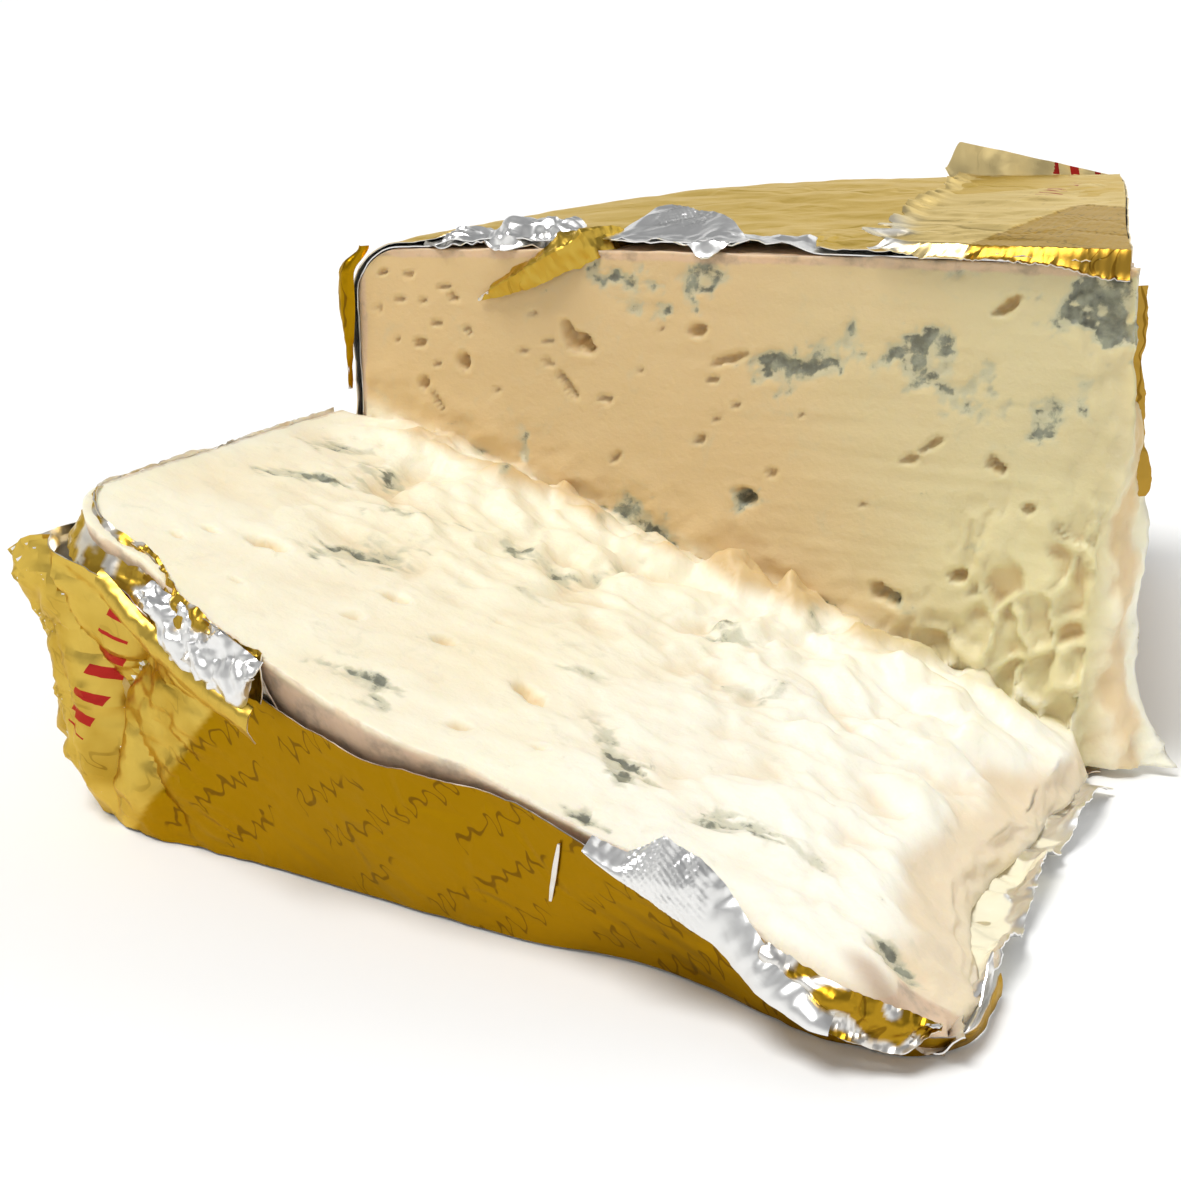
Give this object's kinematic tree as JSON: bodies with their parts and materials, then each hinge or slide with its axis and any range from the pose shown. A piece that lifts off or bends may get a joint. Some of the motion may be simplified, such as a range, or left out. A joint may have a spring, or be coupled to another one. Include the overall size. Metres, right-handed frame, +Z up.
{
  "type": "cheese wedge",
  "caption": "Wedge of soft blue-veined cheese cut open like a book, one half upright and a thin half lying flat, in torn foil.",
  "frame": {"origin": "middle of the object's footprint box, on the surface that it rests on", "axes": "+X along the upright cut face from the rind to the tip, +Y from the cut into the standing half, +Z up"},
  "size_m": [0.1696, 0.253, 0.1045],
  "materials": {
    "cheese_paste": "moist, soft and slightly glossy",
    "gold_foil": "crumpled, gold lacquered",
    "pale_gold_foil": "crumpled, pale gold lacquered",
    "lining_foil": "crumpled, partly gold",
    "silver_foil": "crumpled, bare silver"
  },
  "bodies": {
    "root": {"cheese": "cheese_paste", "back_inner_foil": "silver_foil", "back_wrapper": "gold_foil", "back_wrapper_overlap": "pale_gold_foil", "front_inner_foil": "lining_foil", "front_wrapper": "gold_foil", "torn_foil_strip": "gold_foil", "turned_silver_flap": "silver_foil"}
  },
  "joints": []
}
